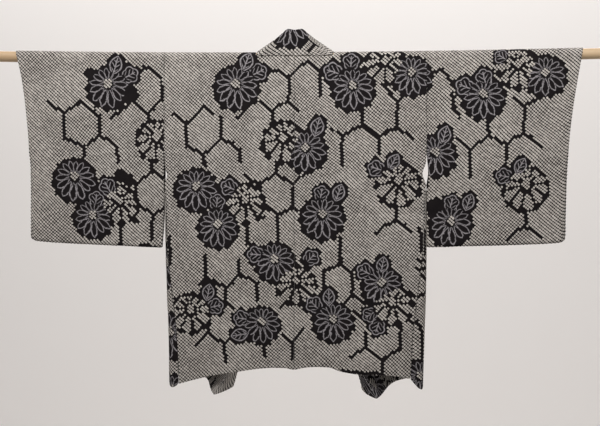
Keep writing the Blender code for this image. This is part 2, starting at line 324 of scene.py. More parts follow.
SLEEVE_CHARTS = {
    -1: {
        "open": ((-436, 60, 53, 10), (-515, 277, 54, 20), (-473, 365, 49, 4)),
        "full": ((-322, 180, 50, 5), (-409, 330, 47, 12)),
        "leaf": ((-384, 40, 25, 8), (-438, 299, 26, -14), (-465, 328, 23, 6)),
        "blade": ((-418, 18, 25, 75),),
        "plain": (
            (-479, 38, 14, 0), (-384, 84, 20, 0), (-406, 272, 15, 0), (-389, 282, 15, 0),
            (-346, 450, 26, 0),
        ),
        "fence": (
            (-580, 103, -540, 133, -537, 189, -492, 208, -494, 238),
            (-540, 133, -527, 122, -502, 105, -471, 124, -458, 136, -457, 182, -492, 208),
            (-457, 182, -429, 194, -415, 208, -413, 240),
            (-376, 98, -427, 139),
            (-373, 100, -341, 130, -341, 146),
            (-341, 130, -320, 107, -309, 95, -312, 43, -334, 26, -351, 21, -364, 36),
            (-354, 209, -332, 234, -332, 260, -371, 290, -369, 332, -332, 360, -334, 414),
            (-332, 260, -302, 276),
            (-332, 360, -303, 343),
            (-400, 369, -365, 378),
            (-406, 374, -408, 432),
            (-408, 438, -320, 438),
        ),
    },
    1: {
        "open": (
            (269, 39, 51, 18), (433, 87, 52, 26), (573, 41, 50, 0), (323, 217, 51, 15),
            (359, 375, 52, 7),
        ),
        "full": ((512, 21, 50, 10), (530, 296, 54, 0)),
        "leaf": (
            (390, 70, 27, 0), (434, 50, 25, 15), (474, 4, 22, -8), (480, 276, 24, 10),
            (361, 334, 23, -12),
        ),
        "blade": ((344, 180, 25, 75), (517, 254, 23, 60), (400, 334, 23, 70)),
        "plain": ((322, 344, 22, 0),),
        "fence": (
            (316, 40, 339, 30, 361, 62),
            (361, 85, 365, 116, 379, 139),
            (444, 144, 445, 182, 466, 194, 485, 204, 484, 250),
            (445, 182, 429, 195, 404, 212, 402, 276),
            (404, 212, 387, 200, 372, 184),
            (485, 204, 504, 189, 524, 180, 526, 116, 503, 96),
            (526, 116, 551, 103),
            (524, 180, 541, 189, 564, 210),
            (304, 276, 302, 302),
            (529, 360, 530, 393, 503, 405, 489, 421),
            (530, 393, 548, 405, 564, 419),
        ),
    },
}
# on the gussets and the collar, across is from the fold or along the band
GUSSET_CHARTS = {
    -1: {"open": ((8, 474, 54, 10), (10, 636, 58, 0), (16, 769, 44, 25))},
    1: {
        "open": ((-16, 733, 47, 15),),
        "fence": (
            (-11, 400, -11, 452),
            (-20, 469, -5, 469),
            (-20, 488, -5, 488),
            (-20, 498, -5, 512),
            (-24, 550, -5, 541),
            (-26, 609, -13, 632, -12, 694),
        ),
    },
}
COLLAR_CHART = {
    "open": (
        (-10, -77, 52, 12), (-240, -20, 52, 0), (-710, -15, 48, 20), (430, -20, 52, 5),
        (830, -26, 62, 15),
    ),
    "full": ((-510, -40, 48, 0), (200, -40, 48, 10), (660, -30, 48, 0)),
    "leaf": ((-290, -45, 23, 4), (480, -45, 23, 0)),
    "fence": (
        (20, -62, 48, -29, 30, -12),
        (-90, -5, -120, -30, -120, -60),
        (120, -5, 100, -30, 100, -60),
        (320, -5, 300, -35, 330, -60),
        (-360, -5, -390, -35, -370, -60),
        (-600, -5, -630, -25, -620, -60),
        (570, -5, 550, -30, 570, -60),
    ),
}
# dark corners of the fronts, whose insides show below the back hem
FRONT_CORNERS = {
    -1: {"full": ((-192, 765, 62, 0),)},
    1: {"open": ((116, 754, 62, 10),), "full": ((196, 746, 56, 0),)},
}

# ---------------------------- creases
# Millimetres: across and drop of one end | of the other | half width | height, troughs minus
BACK_CREASES = metres((
    (-290, 352, -10, 357, 7, -0.8),
    (10, 357, 298, 362, 8, -1.3),
    (-235, 300, -215, 735, 26, 2.4),
    (-180, 120, -165, 560, 22, -1.8),
    (-105, 330, -118, 725, 30, 2.6),
    (-50, 80, -60, 450, 24, -1.4),
    (-262, 90, -285, 290, 20, 1.8),
    (60, 300, 72, 715, 28, -2.4),
    (110, 60, 125, 420, 24, 1.6),
    (150, 420, 158, 730, 24, 2.8),
    (205, 100, 222, 610, 26, -2.2),
    (262, 80, 286, 280, 18, 1.8),
    (250, 480, 244, 730, 20, 2),
))
FRONT_CREASES = metres((
    (-250, 70, -262, 420, 22, 2.2),
    (-180, 140, -170, 620, 24, -2.2),
    (-130, 60, -138, 360, 18, 1.5),
    (135, 80, 142, 500, 20, -1.8),
    (190, 120, 180, 660, 26, 2.4),
    (262, 60, 270, 330, 20, -1.6),
))
SLEEVE_CREASES = metres((
    (-620, 362, -310, 352, 7, -0.9),
    (-595, 40, -575, 360, 24, -1.6),
    (-520, 150, -535, 425, 26, 1.8),
    (-440, 60, -430, 330, 22, -1.4),
    (-360, 180, -350, 425, 22, 1.6),
    (310, 362, 618, 366, 8, -1.2),
    (350, 60, 345, 300, 20, 1.4),
    (410, 160, 420, 425, 24, -1.8),
    (490, 50, 500, 330, 24, 1.6),
    (585, 120, 575, 425, 24, -1.5),
))


# ---------------------------- small helpers

def smooth_line(table, column):
    """A function that reads the table's column smoothly and never overshoots."""
    places = [row[0] for row in table]
    values = [row[column] for row in table]
    steps = [(values[k + 1] - values[k]) / (places[k + 1] - places[k])
             for k in range(len(places) - 1)]
    beside = [steps[0], *steps, steps[-1]]
    slopes = [2 * a * b / (a + b) if a * b > 0 else 0.0
              for a, b in zip(beside, beside[1:])]

    def at(place):
        if place <= places[0]:
            return values[0]
        if place >= places[-1]:
            return values[-1]
        i = min(bisect(places, place) - 1, len(steps) - 1)
        span = places[i + 1] - places[i]
        t = (place - places[i]) / span
        return (values[i] * (1 + 2 * t) * (1 - t) ** 2
                + values[i + 1] * t * t * (3 - 2 * t)
                + slopes[i] * span * t * (1 - t) ** 2
                - slopes[i + 1] * span * t * t * (1 - t))

    return at


def both_sides(table, column=1):
    """Two columns of the table that stand side by side, by side of the jacket."""
    return {-1: smooth_line(table, column), 1: smooth_line(table, column + 1)}


def clamp(value, low=0.0, high=1.0):
    return min(max(value, low), high)


def ease(value):
    """From 0 to 1 as the value goes from 0 to 1, level at both ends."""
    value = clamp(value)
    return value * value * (3 - 2 * value)


def mix(a, b, share):
    return a + (b - a) * share


def bow(x):
    """The loaded rod is lowest at its middle, and the cloth follows it."""
    return ROD_BOW * (2 * x / ROD_LENGTH) ** 2


side_of_body = smooth_line(SIDE_LINE, 1)
fold_of_gusset = both_sides(SIDE_LINE, 2)
back_hem = both_sides(BACK_HEM)
front_hem = both_sides(FRONT_HEM)
gusset_hem = both_sides(GUSSET_HEM)
seam_across, seam_depth, fold_depth, free_across = (smooth_line(FRONT_LINE, k) for k in range(1, 5))
sleeve_end = both_sides(SLEEVE_LINE)
sleeve_start = both_sides(SLEEVE_LINE, 3)
sleeve_rise = both_sides(SLEEVE_BOTTOM)
neck_seam_across, neck_seam_turn, *neck_free = (smooth_line(NECK_BAND, k) for k in range(1, 6))


def hem_wave(x, drop):
    """Depth of the soft waves in the hanging cloth."""
    grown = ease((drop - HEM_WAVE_START) / (HEM_WAVE_END - HEM_WAVE_START))
    return HEM_WAVE * grown * math.sin(math.tau * x / HEM_WAVE_LENGTH + HEM_WAVE_PHASE)


def side_edge(side, drop):
    """Half width of the body, drawn in where its side is open under the arm."""
    middle, half, draw = SIDE_SLIT[side]
    return side_of_body(drop) - draw * ease(1.0 - abs(drop - middle) / half)


CREASE_REACH = 2.5          # to each side, in half widths
CREASE_FADE = 3.0           # at each end, in half widths


def crease_height(creases, x, drop):
    """Height of the listed soft creases at a place: ridges plus, troughs minus."""
    height = 0.0
    for x0, drop0, x1, drop1, half, peak in creases:
        run_x, run_drop = x1 - x0, drop1 - drop0
        length = math.hypot(run_x, run_drop)
        along = ((x - x0) * run_x + (drop - drop0) * run_drop) / length
        aside = ((x - x0) * run_drop - (drop - drop0) * run_x) / length / half
        if abs(aside) < CREASE_REACH and -half < along < length + half:
            fade = CREASE_FADE * half
            fade = ease((along + half) / fade) * ease((length + half - along) / fade)
            height += peak * fade * math.exp(-aside * aside)
    return height


# ---------------------------- where each cut hangs

def hang_body(side, across, along):
    """A body length: up the back, over the rod and down the front."""
    distance = max(side * across, SEAM_SLIT)
    drop = abs(along) - QUARTER_TURN
    if drop <= 0:
        turn = along / CLOTH_TURN
        return side * distance, CLOTH_TURN * math.sin(turn), CLOTH_TURN * math.cos(turn)
    if along < 0:
        x = side * distance
        depth = CLOTH_TURN + hem_wave(x, drop) + crease_height(BACK_CREASES, x, drop)
        depth -= SEAM_SINK * math.exp(-(distance / SEAM_REACH) ** 2) * ease(drop / SEAM_SINK_START)
        return x, -depth, -drop
    share = (distance - NECK_HALF) / (SHOULDER - NECK_HALF)
    seam_x = seam_across(drop) + SEAM_GAP / 2
    seam_y = seam_depth(drop) - (BAND_TURN - CLOTH_TURN)
    bend = clamp((share - FRONT_FLAT) / (1 - 2 * FRONT_FLAT))
    x = side * mix(seam_x, side_edge(side, drop), share)
    depth = mix(seam_y, CLOTH_TURN, share) + fold_depth(drop) * math.sin(math.pi * bend) ** 2
    return x, depth + crease_height(FRONT_CREASES, side * distance, drop), -drop


def trim_body(side, across, along):
    """The nearest place on a body length's cut."""
    distance = side * across
    drop = abs(along) - QUARTER_TURN
    if along < 0:
        distance = min(distance, side_edge(side, drop) if drop > 0 else SHOULDER)
        along = max(along, -QUARTER_TURN - back_hem[side](max(distance, 0.0)))
    else:
        distance = min(distance, SHOULDER)
        share = (distance - NECK_HALF) / (SHOULDER - NECK_HALF)
        along = min(along, QUARTER_TURN + front_hem[side](share))
    distance = max(distance, 0.0)
    if distance < NECK_HALF and along > NECK_EDGE:
        if NECK_HALF - distance < along - NECK_EDGE:
            distance = NECK_HALF
        else:
            along = NECK_EDGE
    return side * distance, along


def sleeve_share(side, distance, drop):
    """Share of a sleeve's width from its inner edge to its outer end."""
    start, end = sleeve_start[side](drop), sleeve_end[side](drop)
    return clamp((distance - start) / (end - start))


def hang_sleeve(side, across, along):
    """A sleeve: up the back from its bottom seam, over the rod and down the front."""
    facing = -1 if along < 0 else 1
    down = abs(along) - QUARTER_TURN
    if down <= 0:
        turn = along / CLOTH_TURN
        y, z = CLOTH_TURN * math.sin(turn), CLOTH_TURN * math.cos(turn)
        share = sleeve_share(side, side * across, -z)
        return side * mix(sleeve_start[side](-z), sleeve_end[side](-z), share), y, z
    share = sleeve_share(side, side * across, down)
    bottom = SLEEVE_TURN_DROP - sleeve_rise[side](share)
    level = min(down / SLEEVE_DROP, 1.0)
    drop = bottom * level
    depth = mix(CLOTH_TURN, SLEEVE_FOLD, ease((drop - SLEEVE_FULL) / SLEEVE_FULL))
    turn = max(down - SLEEVE_DROP, 0.0) / SLEEVE_FOLD
    closed = ease((drop - CUFF_OPENING) / CUFF_EASE)
    near_end = max(share - 1 + CUFF_ROUND, 0.0) / CUFF_ROUND
    depth *= 1 - closed * (1 - math.sqrt(max(1 - near_end * near_end, 0.0)))
    drop += SLEEVE_FOLD * math.sin(turn)
    x = side * mix(sleeve_start[side](drop), sleeve_end[side](drop), share)
    lift = crease_height(SLEEVE_CREASES, x, drop) * (1 - near_end) * math.cos(turn)
    return x, facing * (depth * math.cos(turn) + lift), -drop


def trim_sleeve(side, across, along):
    """The nearest place on a sleeve's cut."""
    along = clamp(along, -SLEEVE_HALF_ROUND, SLEEVE_HALF_ROUND)
    drop = abs(along) - QUARTER_TURN
    if drop <= 0:
        drop = -CLOTH_TURN * math.cos(along / CLOTH_TURN)
    distance = clamp(side * across, sleeve_start[side](drop), sleeve_end[side](drop))
    return side * distance, along


def gusset_seam(side, drop):
    """Distance of the gusset's seams from the centre, and how deep its fold is."""
    seam, fold = side_of_body(drop), fold_of_gusset[side](drop)
    steepness = CLOTH_TURN / (CLOTH_TURN + fold - seam)
    seam += SEAM_GAP + WALL / 2 * steepness
    return seam, fold - seam


def gusset_half(side, drop):
    """Half of the gusset's flat width: a quarter of an ellipse, from seam to fold."""
    deep = gusset_seam(side, drop)[1]
    total = deep + CLOTH_TURN
    root = math.sqrt((3 * deep + CLOTH_TURN) * (deep + 3 * CLOTH_TURN))
    return math.pi / 4 * (3 * total - root)


def gusset_share(side, across, drop):
    """Share of a gusset's width from its back seam to its front seam."""
    return clamp(0.5 + side * across / (2 * gusset_half(side, drop)))


def hang_gusset(side, across, along):
    """A side gusset: out from the back seam, round its fold and in to the front."""
    drop = -along
    share = gusset_share(side, across, drop)
    seam, deep = gusset_seam(side, drop)
    x = side * (seam + deep * math.sin(math.pi * share))
    y = -CLOTH_TURN * math.cos(math.pi * share)
    return x, y - hem_wave(side * seam, drop) * max(0.0, 1 - 2 * share), along


def trim_gusset(side, across, along):
    """The nearest place on a gusset's cut."""
    half = gusset_half(side, -along)
    across = clamp(across, -half, half)
    hem = gusset_hem[side](gusset_share(side, across, -along))
    return across, max(min(along, -GUSSET_TOP * hem), -hem)


def collar_ruling(side, station, drop, share):
    """Seam point and free-edge point of the collar, round the neck or hanging."""
    if drop <= 0:
        x, turn = neck_seam_across(station) * MM, math.radians(neck_seam_turn(station))
        seam = Vector((x, BAND_TURN * math.sin(turn), BAND_TURN * math.cos(turn)))
        return seam, Vector([line(station) * MM for line in neck_free])
    drop *= 1 - BAND_HEM_RISE * share / FRONT_HEM[0][1]
    seam_x, seam_y = seam_across(drop) - SEAM_GAP / 2, seam_depth(drop)
    free_x = free_across(drop) + BAND_SWING[side] * ease((drop - BAND_SWING_START) / BAND_SWING_LENGTH)
    rest = math.sqrt(max(BAND_WIDTH ** 2 - (seam_x - free_x) ** 2, 0.0))
    tilt = math.pi / 2 * ease(drop / BAND_LEVEL)
    free = Vector((free_x, seam_y + rest * math.sin(tilt), rest * math.cos(tilt) - drop))
    return Vector((seam_x, seam_y, -drop)), free


def collar_stations():
    """Length of the band's middle line from the centre back to each neck station."""
    lengths = [0.0]
    middles = [sum(collar_ruling(1, row[0], 0.0, 0.5), Vector()) / 2 for row in NECK_BAND]
    for one, other in zip(middles, middles[1:]):
        lengths.append(lengths[-1] + (other - one).length)
    return lengths


NECK_LENGTHS = collar_stations()
NECK_ROUND = NECK_LENGTHS[-1]
station_at = smooth_line(tuple(zip(NECK_LENGTHS, range(len(NECK_BAND)))), 1)


def hang_collar(across, along):
    """The collar: across is its length from the centre back, along its width."""
    side = -1 if across < 0 else 1
    share = clamp(along / BAND_WIDTH)
    length = abs(across)
    seam, free = collar_ruling(side, station_at(length), length - NECK_ROUND, share)
    bend = max(share - BAND_FLAT, 0.0) / (1 - BAND_FLAT)
    spot = seam.lerp(free, share)
    return side * spot.x, mix(seam.y, free.y, bend * bend), spot.z


def trim_collar(across, along):
    """The nearest place on the collar's cut."""
    ends = [NECK_ROUND + FRONT_HEM[0][column] for column in (1, 2)]
    return clamp(across, -ends[0], ends[1]), clamp(along, 0.0, BAND_WIDTH)


# ---------------------------- dyeing

KINDS = {"open": 1, "full": 2, "leaf": 3, "blade": 4, "plain": 5}
OPEN, FULL, LEAF, BLADE, PLAIN = KINDS.values()
PETALS = 14                 # of an open flower
FULL_PETALS = 11            # of a flower made of dots
HEART = 0.19                # share of a flower that is its heart of dots
FULL_RING = 0.27            # where the petals of a flower made of dots begin
FULL_GAP = 2.4 * MM         # half of the black between two of its petals
FULL_TIP = 0.94             # reach of its longest petals
TIP_SPREAD = 0.10           # how much shorter some petals are
TURN_SPREAD = 0.14          # how much some petals are turned aside
TIP_BLUNT = 0.7
SCALLOPS = {OPEN: (14, 0.045), FULL: (11, 0.04), LEAF: (5, 0.10), BLADE: (2, 0.12), PLAIN: (9, 0.05)}
GROUND_DROOP = 0.21         # how much further a ground reaches below its heart than above
PETAL_DROOP = 0.26
SCATTER = 12.9898           # neighbours times this are far apart on a sine


def flat_chart(chart, facing=-1, mirror=1, rise=QUARTER_TURN):
    """A chart laid on the back, or on a front: its figures and its fence lines.

    A figure is (across, along, kind, radius, turn in radians), and a fence line is
    cut up into stretches from corner to corner.
    """
    def place(across, down):
        return mirror * across * MM, facing * (rise + down * MM)

    flowers = chart.get("open", ()) + chart.get("full", ())
    figures, fences = [], []
    for word, kind in KINDS.items():
        for across, down, radius, turn in chart.get(word, ()):
            turn = math.radians(turn)
            if kind == LEAF:
                near = min(flowers, key=lambda row: math.hypot(across - row[0], down - row[1]))
                turn += math.atan2(near[1] - down, across - near[0])
            turn = math.atan2(-facing * math.sin(turn), mirror * math.cos(turn))
            figures.append((*place(across, down), kind, radius * MM, turn))
    for run in chart.get("fence", ()):
        corners = [place(across, down) for across, down in zip(run[::2], run[1::2])]
        fences += zip(corners, corners[1:])
    return figures, fences


def dot_count(across, along):
    """A flat place in dots along its row, and in rows."""
    return ((across * ROW_RUN + along * ROW_FALL) / DOT_STEP,
            (along * ROW_RUN - across * ROW_FALL) / ROW_STEP)


def row_drift(across, along):
    """How the tied rows wander at a place."""
    (a, b), (c, d) = [(math.tau * across / wide + phase, math.tau * along / tall)
                      for wide, tall, phase in DRIFT_WAVES]
    return ROW_DRIFT * math.sin(a) * math.cos(b), ROW_DRIFT * math.cos(c) * math.sin(d)


def on_fence(fences, across, along):
    """True within a fence line, which is as wide as joins its cells side by side."""
    for (x0, y0), (x1, y1) in fences:
        if (min(x0, x1) - ROW_STEP <= across <= max(x0, x1) + ROW_STEP
                and min(y0, y1) - ROW_STEP <= along <= max(y0, y1) + ROW_STEP):
            run_x, run_y = x1 - x0, y1 - y0
            length = math.hypot(run_x, run_y)
            half = (DOT_STEP * abs(run_y * ROW_RUN - run_x * ROW_FALL)
                    + ROW_STEP * abs(run_x * ROW_RUN + run_y * ROW_FALL)) / 2 / length
            aside = ((across - x0) * run_y - (along - y0) * run_x) / length
            forth = ((across - x0) * run_x + (along - y0) * run_y) / length
            if abs(aside) <= half and -half <= forth <= length + half:
                return True
    return False


def in_figure(figure, across, along, droop):
    """A place in a figure: 1 is the edge of its ground, further off below its heart."""
    x, y, kind, radius, turn = figure
    dx, dy = (across - x) / radius, (along - y) / radius
    away = math.hypot(dx, dy)
    if kind in (OPEN, FULL) and away > 0:
        rise, side = dy / away, dx / away
        reach = math.sqrt(1 - (droop * side) ** 2) - droop * rise
        dx, dy = dx / reach, dy / reach
    c, s = math.cos(turn), math.sin(turn)
    return dx * c + dy * s, dy * c - dx * s


def is_dotted(figures, fences, across, along):
    """Whether a cell is tied as a light dot, and the index of its figure or -1."""
    nearest, found = 1.0, -1
    for index, figure in enumerate(figures):
        if abs(across - figure[0]) + abs(along - figure[1]) < 2 * figure[3]:
            x, y = in_figure(figure, across, along, GROUND_DROOP)
            lobes, depth = SCALLOPS[figure[2]]
            reach = math.hypot(x, y) / (1 + depth * math.cos(lobes * math.atan2(y, x)))
            if reach < nearest:
                nearest, found = reach, index
    if found < 0:
        return not on_fence(fences, across, along), -1
    return is_petal(figures[found], across, along), found


def is_petal(figure, across, along):
    """Whether a cell of a figure is tied: the heart of a flower, or a blunt petal of dots."""
    x, y, kind, radius, _ = figure
    if kind not in (OPEN, FULL):
        return False
    if math.hypot(across - x, along - y) < HEART * radius:
        return True
    if kind == OPEN:
        return False
    px, py = in_figure(figure, across, along, PETAL_DROOP)
    reach, turn = math.hypot(px, py), math.atan2(py, px) / math.tau * FULL_PETALS
    petal = math.floor(turn)
    edges = [k + TURN_SPREAD * (hand_number(k % FULL_PETALS, x + y) - 0.5)
             for k in range(petal - 1, petal + 3)]
    aside = min(abs(turn - edge) for edge in edges) * math.tau / FULL_PETALS * reach
    blunt = TIP_BLUNT * (turn - petal - 0.5) ** 2
    tip = FULL_TIP - TIP_SPREAD * hand_number(petal % FULL_PETALS, x - y) - blunt
    return FULL_RING < reach < tip and aside > FULL_GAP / radius


def hand_number(a, b):
    """A number from 0 to 1 that looks like chance but is the same each time."""
    return math.modf(abs(math.sin(a * SCATTER + b * 78.233)) * 43758.5453)[0]


def tied_place(across, along):
    """A place that has wandered with its row, in dots and in rows."""
    drift = row_drift(across, along)
    return dot_count(across - drift[0], along - drift[1])


# ---------------------------- making the cloth

def make_piece(name, bm, material):
    """An object at the origin from a finished bmesh."""
    mesh = bpy.data.meshes.new(name)
    bm.to_mesh(mesh)
    bm.free()
    mesh.materials.append(material)
    piece = bpy.data.objects.new(name, mesh)
    bpy.context.scene.collection.objects.link(piece)
    return piece


def lay_lattice(low, high):
    """The flat lattice of dot cells over a rectangle, its rows on the bias."""
    bm = bmesh.new()
    wide, tall = high[0] - low[0], high[1] - low[1]
    dots = 2 * math.ceil((wide * ROW_RUN - tall * ROW_FALL) / DOT_STEP / 2 + 1)
    rows = 2 * math.ceil((tall * ROW_RUN - wide * ROW_FALL) / ROW_STEP / 2 + 1)
    bmesh.ops.create_grid(bm, x_segments=dots, y_segments=rows, size=1.0)
    middle = [round(n) for n in dot_count((low[0] + high[0]) / 2, (low[1] + high[1]) / 2)]
    size = (dots / 2 * DOT_STEP, rows / 2 * ROW_STEP, 1.0)
    bmesh.ops.scale(bm, verts=bm.verts, vec=size)
    bmesh.ops.translate(bm, verts=bm.verts, vec=(middle[0] * DOT_STEP, middle[1] * ROW_STEP, 0))
    bmesh.ops.rotate(bm, verts=bm.verts, cent=(0, 0, 0), matrix=Matrix.Rotation(ROW_SLOPE, 3, "Z"))
    return bm


def dye_and_trim(bm, low, high, trim, figures, fences):
    """Dye every cell that lies on the cut, and pull the edge cells to its outline."""
    pulled = {}
    for vert in bm.verts:
        drift = row_drift(vert.co.x, vert.co.y)
        vert.co.x += drift[0]
        vert.co.y += drift[1]
        across, along, _ = vert.co
        if (low[0] - CELL_REACH < across < high[0] + CELL_REACH
                and low[1] - CELL_REACH < along < high[1] + CELL_REACH):
            place = trim(across, along)
            if abs(place[0] - across) + abs(place[1] - along) > NO_MOVE:
                pulled[vert] = place
        else:
            pulled[vert] = (across, along)
    doomed = [face for face in bm.faces if all(vert in pulled for vert in face.verts)]
    bmesh.ops.delete(bm, geom=doomed, context="FACES")
    dotted = bm.faces.layers.float.new("dotted")
    tone = bm.faces.layers.float.new("tone")
    kind = bm.faces.layers.float.new("figure")
    owner = bm.faces.layers.int.new("owner")
    for face in bm.faces:
        across, along, _ = face.calc_center_median()
        is_dot, found = is_dotted(figures, fences, across, along)
        face[dotted] = 1.0 if is_dot else 0.0
        face[owner] = found
        face[kind] = figures[found][2] if found >= 0 else 0.0
        face[tone] = hand_number(*map(math.floor, tied_place(across, along)))
    for vert, place in pulled.items():
        if vert.is_valid:
            vert.co.x, vert.co.y = place


def chart_uv(bm, figures):
    """UV maps: "dots" counts dots and rows, "motif" is a place in a figure."""
    dots = bm.loops.layers.uv.new("dots")
    motif = bm.loops.layers.uv.new("motif")
    owner = bm.faces.layers.int["owner"]
    for face in bm.faces:
        found = face[owner]
        for loop in face.loops:
            across, along, _ = loop.vert.co
            if found >= 0:
                loop[motif].uv = in_figure(figures[found], across, along, PETAL_DROOP)
            loop[dots].uv = tied_place(across, along)


def make_cloth(name, low, high, trim, hang, figures, fences, thickness=SILK, out=SILK_OUT):
    """One cloth piece: dyed flat, trimmed, hung, and raised a little at every dot."""
    bm = lay_lattice(low, high)
    dye_and_trim(bm, low, high, trim, figures, fences)
    rim = [vert for vert in bm.verts if vert.is_boundary]
    bmesh.ops.remove_doubles(bm, verts=rim, dist=WELD)
    centres = bmesh.ops.poke(bm, faces=bm.faces[:])["verts"]
    chart_uv(bm, figures)
    for vert in bm.verts:
        x, y, z = hang(vert.co.x, vert.co.y)
        vert.co = (x, y, z + bow(x))
    bm.normal_update()
    dotted = bm.faces.layers.float["dotted"]
    tone = bm.faces.layers.float["tone"]
    lift = {vert: 0.0 if vert.is_boundary else out for vert in bm.verts}
    for vert in centres:
        face = vert.link_faces[0]
        height = mix(DOT_LEAST, 2 - DOT_LEAST, face[tone])
        lift[vert] = out + DOT_HEIGHT * face[dotted] * height
    for vert in bm.verts:
        vert.co += vert.normal * lift[vert]
    for face in bm.faces:
        face.smooth = True
    piece = make_piece(name, bm, silk)
    wall = piece.modifiers.new("Silk", "SOLIDIFY")
    wall.thickness = thickness
    wall.offset = -1.0
    wall.use_rim = True
    return piece


# ---------------------------- materials

def add_node(tree, kind, inputs=(), **settings):
    """A node's outputs; its inputs are linked to numbers and sockets, or set to values."""
    node = tree.nodes.new(f"ShaderNode{kind}")
    for name, value in settings.items():
        setattr(node, name, value)
    for slot, value in dict(inputs).items():
        if isinstance(value, Number):
            value = value.socket
        if isinstance(value, bpy.types.NodeSocket):
            tree.links.new(value, node.inputs[slot])
        else:
            node.inputs[slot].default_value = value
    return node.outputs


class Number:
    """A number in a material's nodes, worked on with ordinary signs."""

    def __init__(self, tree, socket):
        self.tree = tree
        self.socket = socket

    def by(self, operation, *others):
        inputs = enumerate((self, *others))
        return Number(self.tree, add_node(self.tree, "Math", inputs, operation=operation)[0])

    __add__ = partialmethod(by, "ADD")
    __sub__ = partialmethod(by, "SUBTRACT")
    __mul__ = partialmethod(by, "MULTIPLY")
    __truediv__ = partialmethod(by, "DIVIDE")
    __pow__ = partialmethod(by, "POWER")
    __abs__ = partialmethod(by, "ABSOLUTE")

    def step(self, low, high):
        """0 at low and 1 at high, smoothly; low may be above high."""
        inputs = {"Value": self, "From Min": low, "From Max": high}
        outputs = add_node(self.tree, "MapRange", inputs, interpolation_type="SMOOTHSTEP")
        return Number(self.tree, outputs[0])


class Finish:
    """A material and the few kinds of node that it is made with."""

    def __init__(self, name, **values):
        self.material = bpy.data.materials.new(name)
        self.material.use_nodes = True
        self.tree = self.material.node_tree
        self.shader = self.tree.nodes["Principled BSDF"]
        self.add = partial(add_node, self.tree)
        for slot, value in values.items():
            self.shader.inputs[slot.replace("_", " ")].default_value = value

    def attribute(self, name):
        return Number(self.tree, self.add("Attribute", attribute_name=name)["Fac"])

    def uv(self, name):
        apart = self.add("SeparateXYZ", {0: self.add("UVMap", uv_map=name)["UV"]})
        return Number(self.tree, apart[0]), Number(self.tree, apart[1])

    def noise(self, scale, detail=2.0, stretch=(1, 1, 1)):
        place = self.add("TexCoord")["Object"]
        place = self.add("Mapping", {"Vector": place, "Scale": stretch})["Vector"]
        inputs = {"Vector": place, "Scale": scale, "Detail": detail}
        return Number(self.tree, self.add("TexNoise", inputs)["Fac"])

    def mix(self, share, low, high):
        """A colour between two colours, either of which may be a socket."""
        inputs = {"Factor": share}
        for slot, colour in ((6, low), (7, high)):
            inputs[slot] = (*colour, 1.0) if isinstance(colour, tuple) else colour
        return self.add("Mix", inputs, data_type="RGBA")[2]

    def bump(self, height, strength, distance):
        inputs = {"Height": height, "Strength": strength, "Distance": distance}
        self.tree.links.new(self.add("Bump", inputs)["Normal"], self.shader.inputs["Normal"])

    def colour(self, socket):
        self.tree.links.new(socket, self.shader.inputs["Base Color"])


DOT_LIGHT = (0.68, 0.640, 0.595)
DOT_SHADE = (0.43, 0.402, 0.372)
DYE_BLACK = (0.0062, 0.0054, 0.0062)
DYE_WORN = (0.0150, 0.0122, 0.0128)
STITCH_GREY = (0.31, 0.292, 0.308)


def petal_number(angle, petals):
    """Angle from the middle of the nearest petal, and a small number all its own."""
    sector = math.tau / petals
    turns = angle / sector + petals
    off_axis = (turns.by("FRACT") - 0.5) * sector
    own = ((turns.by("FLOOR") * SCATTER).by("SINE") * 437.585).by("FRACT")
    return off_axis, own


def open_petals(reach, angle):
    """Thin outlines of pointed petals, narrow at the heart, no two of the same length."""
    off_axis, own = petal_number(angle, PETALS)
    aside = abs(off_axis + (own - 0.5) * 0.09) * reach
    start, tip = 0.20, own * 0.16 + 0.77
    along = (reach - start) / (tip - start)
    half = along * (along ** 3.0 * -1.0 + 1.0) * (own * 0.06 + 0.21)
    return (abs(aside - half) / (reach * 0.9 + 0.35)).step(0.032, 0.011) * reach.step(0.215, 0.255)


def leaf_veins(x, y):
    """A midrib with slanting side veins."""
    rib = abs(y).step(0.070, 0.030)
    side = abs(((x - abs(y)) * 2.3 + 9.0).by("FRACT") - 0.5).step(0.16, 0.07)
    return rib.by("MAXIMUM", side)


def lobed_leaf(x, y, reach, angle):
    """Thin outline of a leaf with five round lobes, open at its stalk, and its veins."""
    lobes = abs((angle * 2.5).by("COSINE")) * 0.15
    outline = abs(reach - lobes - 0.60).step(0.070, 0.030) * abs(angle).step(2.7, 2.5)
    return outline.by("MAXIMUM", leaf_veins(x, y) * reach.step(0.54, 0.46))


def pointed_leaf(x, y):
    """Thin outline of a pointed leaf, with a midrib and side veins."""
    a, b = x / 0.86, abs(y) / 0.55
    inside = a * a + b
    outline = abs(inside - 1.0).step(0.16, 0.08)
    return outline.by("MAXIMUM", leaf_veins(x, y) * inside.step(0.78, 0.66))


